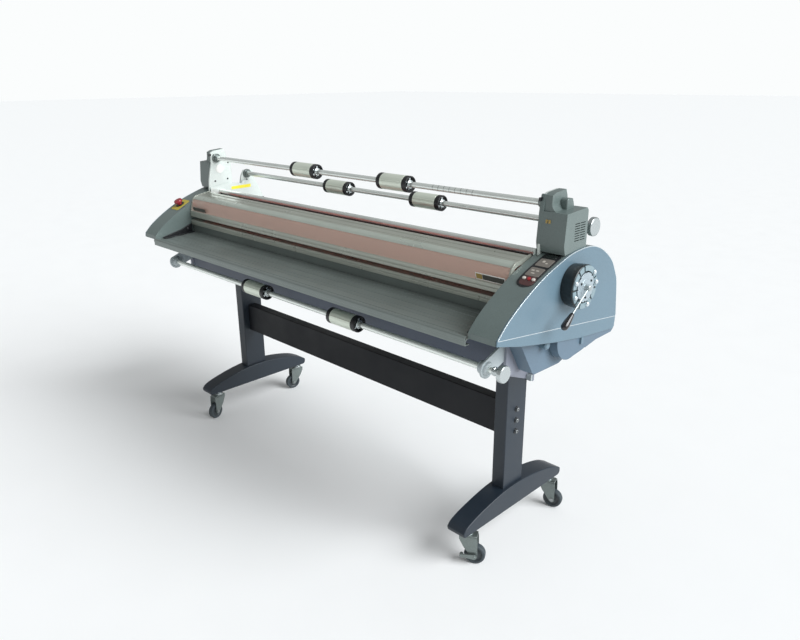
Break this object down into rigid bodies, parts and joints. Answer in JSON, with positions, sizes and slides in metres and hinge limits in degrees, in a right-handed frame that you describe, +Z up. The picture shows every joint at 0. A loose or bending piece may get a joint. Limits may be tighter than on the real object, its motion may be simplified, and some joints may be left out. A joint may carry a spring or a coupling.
{
  "type": "cold roll laminator",
  "caption": "Wide floor-standing cold roll laminator: two silicone rollers under a clear hinged shield, feed table, supply shafts with core chucks, wheeled stand.",
  "frame": {"origin": "on the floor, midway between the two legs, under the middle of the stand's columns", "axes": "+X along the rollers towards the control end, +Y towards the exit side, +Z up"},
  "size_m": [2.043, 0.672, 1.241],
  "materials": {
    "stand_black": "satin powder coat",
    "bracket_grey": "satin powder coat",
    "zinc_plate": "light grey enamel over zinc plate",
    "case_dark": "fine textured paint, dark grey-green",
    "cover_blue_grey": "satin paint, blue grey",
    "table_aluminium": "grey anodised extrusion",
    "apron_slate": "satin slate paint",
    "rail_aluminium": "satin anodised",
    "shaft_chrome": "polished tube",
    "steel": "turned",
    "core_aluminium": "turned extrusion",
    "gear_steel": "hobbed",
    "silicone_red": "smooth silicone",
    "chuck_silver": "satin anodised sleeve with black end rings",
    "clear_acrylic": "clear glossy",
    "panel_black": "fine textured",
    "key_white": "moulded",
    "key_red": "moulded",
    "button_red": "moulded",
    "plate_yellow": "yellow enamel",
    "ring_dark": "moulded",
    "hub_polished": "polished",
    "lever_black": "moulded grip on chromed rod",
    "caster_grey": "zinc plated pressing",
    "wheel_grey": "grey polyurethane tread",
    "motor_black": "black enamel",
    "board_green": "laminate"
  },
  "bodies": {
    "frame": {"stand_feet": "stand_black", "stand_columns": "stand_black", "stretcher_beam": "stand_black", "stand_bolts": "steel", "column_heads": "bracket_grey", "side_plates": "zinc_plate", "base_beam": "apron_slate", "front_apron": "apron_slate", "rear_cover": "table_aluminium", "feed_table": "table_aluminium", "feed_guide_bar": "rail_aluminium", "right_cabinet": "case_dark", "left_cabinet": "case_dark", "right_side_cover": "cover_blue_grey", "left_side_cover": "cover_blue_grey", "lower_covers": "cover_blue_grey", "shaft_housings": "case_dark", "control_panel": "panel_black", "estop_base": "plate_yellow", "selector_ring": "ring_dark", "drive_motor": "motor_black", "roller_bearings": "steel", "shaft_supports": "bracket_grey", "power_module": "board_green"},
    "lower_roller": {"lower_roller_core": "core_aluminium", "lower_roller_sleeve": "silicone_red", "roller_gear": "gear_steel"},
    "roller_lift": {"bearing_blocks": "steel"},
    "upper_roller": {"upper_roller_core": "core_aluminium", "upper_roller_sleeve": "silicone_red"},
    "selector": {"lift_camshaft": "steel", "selector_hub": "hub_polished", "selector_lever": "lever_black"},
    "motor_pinion": {"motor_pinion": "gear_steel"},
    "upper_front_shaft": {"upper_front_shaft": "shaft_chrome"},
    "upper_rear_shaft": {"upper_rear_shaft": "shaft_chrome"},
    "lower_shaft": {"lower_shaft": "shaft_chrome"},
    "idler_bar": {"idler_bar": "shaft_chrome"},
    "shield": {"shield_window": "clear_acrylic", "shield_rail": "rail_aluminium"},
    "estop_button": {"estop_button": "button_red"},
    "key_forward": {"key_forward": "key_white"},
    "key_stop": {"key_stop": "key_red"},
    "key_reverse": {"key_reverse": "key_white"},
    "upper_front_chuck_a": {"upper_front_chuck_a": "chuck_silver"},
    "upper_front_chuck_b": {"upper_front_chuck_b": "chuck_silver"},
    "upper_rear_chuck_a": {"upper_rear_chuck_a": "chuck_silver"},
    "upper_rear_chuck_b": {"upper_rear_chuck_b": "chuck_silver"},
    "lower_chuck_a": {"lower_chuck_a": "chuck_silver"},
    "lower_chuck_b": {"lower_chuck_b": "chuck_silver"},
    "front_left_fork": {"front_left_fork": "caster_grey"},
    "front_left_wheel": {"front_left_wheel": "wheel_grey"},
    "front_right_fork": {"front_right_fork": "caster_grey"},
    "front_right_wheel": {"front_right_wheel": "wheel_grey"},
    "rear_left_fork": {"rear_left_fork": "caster_grey"},
    "rear_left_wheel": {"rear_left_wheel": "wheel_grey"},
    "rear_right_fork": {"rear_right_fork": "caster_grey"},
    "rear_right_wheel": {"rear_right_wheel": "wheel_grey"},
    "front_left_brake": {"front_left_brake": "caster_grey"},
    "front_right_brake": {"front_right_brake": "caster_grey"}
  },
  "joints": [
    {"name": "lower_roller_spin", "type": "hinge", "parent": "frame", "child": "lower_roller", "pos_m": [0, -0.095, 0.882], "axis": [1, 0, 0], "continuous": true},
    {"name": "motor_spin", "type": "hinge", "parent": "frame", "child": "motor_pinion", "pos_m": [-0.9, -0.01887, 0.8465], "axis": [1, 0, 0], "continuous": true},
    {"name": "selector_turn", "type": "hinge", "parent": "frame", "child": "selector", "pos_m": [1, -0.028, 0.976], "axis": [-1, 0, 0], "range_deg": [0, 120]},
    {"name": "roller_lift", "type": "slide", "parent": "frame", "child": "roller_lift", "axis": [0, 0, 1], "range_m": [0, 0.018]},
    {"name": "upper_roller_spin", "type": "hinge", "parent": "roller_lift", "child": "upper_roller", "pos_m": [0, -0.095, 0.9783], "axis": [1, 0, 0], "continuous": true},
    {"name": "upper_front_shaft_spin", "type": "hinge", "parent": "frame", "child": "upper_front_shaft", "pos_m": [0, -0.038, 1.202], "axis": [1, 0, 0], "continuous": true},
    {"name": "upper_rear_shaft_spin", "type": "hinge", "parent": "frame", "child": "upper_rear_shaft", "pos_m": [0, 0.119, 1.119], "axis": [1, 0, 0], "continuous": true},
    {"name": "lower_shaft_spin", "type": "hinge", "parent": "frame", "child": "lower_shaft", "pos_m": [0, -0.29, 0.763], "axis": [1, 0, 0], "continuous": true},
    {"name": "idler_spin", "type": "hinge", "parent": "frame", "child": "idler_bar", "pos_m": [0, -0.03, 1.052], "axis": [1, 0, 0], "continuous": true},
    {"name": "shield_open", "type": "hinge", "parent": "frame", "child": "shield", "pos_m": [0, -0.095, 1.043], "axis": [-1, 0, 0], "range_deg": [0, 90]},
    {"name": "upper_front_chuck_a_slide", "type": "slide", "parent": "upper_front_shaft", "child": "upper_front_chuck_a", "axis": [1, 0, 0], "range_m": [-0.53, 0.15]},
    {"name": "upper_front_chuck_b_slide", "type": "slide", "parent": "upper_front_shaft", "child": "upper_front_chuck_b", "axis": [1, 0, 0], "range_m": [-0.15, 0.45]},
    {"name": "upper_rear_chuck_a_slide", "type": "slide", "parent": "upper_rear_shaft", "child": "upper_rear_chuck_a", "axis": [1, 0, 0], "range_m": [-0.55, 0.15]},
    {"name": "upper_rear_chuck_b_slide", "type": "slide", "parent": "upper_rear_shaft", "child": "upper_rear_chuck_b", "axis": [1, 0, 0], "range_m": [-0.15, 0.44]},
    {"name": "lower_chuck_a_slide", "type": "slide", "parent": "lower_shaft", "child": "lower_chuck_a", "axis": [1, 0, 0], "range_m": [-0.49, 0.165]},
    {"name": "lower_chuck_b_slide", "type": "slide", "parent": "lower_shaft", "child": "lower_chuck_b", "axis": [1, 0, 0], "range_m": [-0.165, 0.47]},
    {"name": "estop_press", "type": "slide", "parent": "frame", "child": "estop_button", "axis": [0, -0.454, 0.891], "range_m": [-0.005, 0], "stiffness_N_per_m": 500},
    {"name": "key_forward_press", "type": "slide", "parent": "frame", "child": "key_forward", "axis": [0, -0.454, 0.891], "range_m": [-0.0015, 0], "stiffness_N_per_m": 500},
    {"name": "key_stop_press", "type": "slide", "parent": "frame", "child": "key_stop", "axis": [0, -0.454, 0.891], "range_m": [-0.0015, 0], "stiffness_N_per_m": 500},
    {"name": "key_reverse_press", "type": "slide", "parent": "frame", "child": "key_reverse", "axis": [0, -0.454, 0.891], "range_m": [-0.0015, 0], "stiffness_N_per_m": 500},
    {"name": "front_left_swivel", "type": "hinge", "parent": "frame", "child": "front_left_fork", "pos_m": [-0.776, -0.211, 0.11], "axis": [0, 0, 1], "continuous": true},
    {"name": "front_left_wheel_spin", "type": "hinge", "parent": "front_left_fork", "child": "front_left_wheel", "pos_m": [-0.76875, -0.23805, 0.036], "axis": [0.9659, 0.2588, 0], "continuous": true},
    {"name": "front_left_brake_press", "type": "hinge", "parent": "front_left_fork", "child": "front_left_brake", "pos_m": [-0.76875, -0.23805, 0.036], "axis": [0.9659, 0.2588, 0], "range_deg": [0, 18]},
    {"name": "front_right_swivel", "type": "hinge", "parent": "frame", "child": "front_right_fork", "pos_m": [0.776, -0.211, 0.11], "axis": [0, 0, 1], "continuous": true},
    {"name": "front_right_wheel_spin", "type": "hinge", "parent": "front_right_fork", "child": "front_right_wheel", "pos_m": [0.80025, -0.197, 0.036], "axis": [-0.5, 0.866, 0], "continuous": true},
    {"name": "front_right_brake_press", "type": "hinge", "parent": "front_right_fork", "child": "front_right_brake", "pos_m": [0.80025, -0.197, 0.036], "axis": [-0.5, 0.866, 0], "range_deg": [0, 18]},
    {"name": "rear_left_swivel", "type": "hinge", "parent": "frame", "child": "rear_left_fork", "pos_m": [-0.776, 0.258, 0.11], "axis": [0, 0, 1], "continuous": true},
    {"name": "rear_left_wheel_spin", "type": "hinge", "parent": "rear_left_fork", "child": "rear_left_wheel", "pos_m": [-0.78086, 0.23042, 0.036], "axis": [0.9848, -0.1736, 0], "continuous": true},
    {"name": "rear_right_swivel", "type": "hinge", "parent": "frame", "child": "rear_right_fork", "pos_m": [0.776, 0.258, 0.11], "axis": [0, 0, 1], "continuous": true},
    {"name": "rear_right_wheel_spin", "type": "hinge", "parent": "rear_right_fork", "child": "rear_right_wheel", "pos_m": [0.80305, 0.26525, 0.036], "axis": [-0.2588, 0.9659, 0], "continuous": true}
  ],
  "couplings": [
    {"joint": "motor_spin", "follows": "lower_roller_spin", "ratio": -2.5},
    {"joint": "upper_roller_spin", "follows": "lower_roller_spin", "ratio": -1},
    {"joint": "selector_turn", "follows": "roller_lift", "rad_per_m": 116.36}
  ]
}
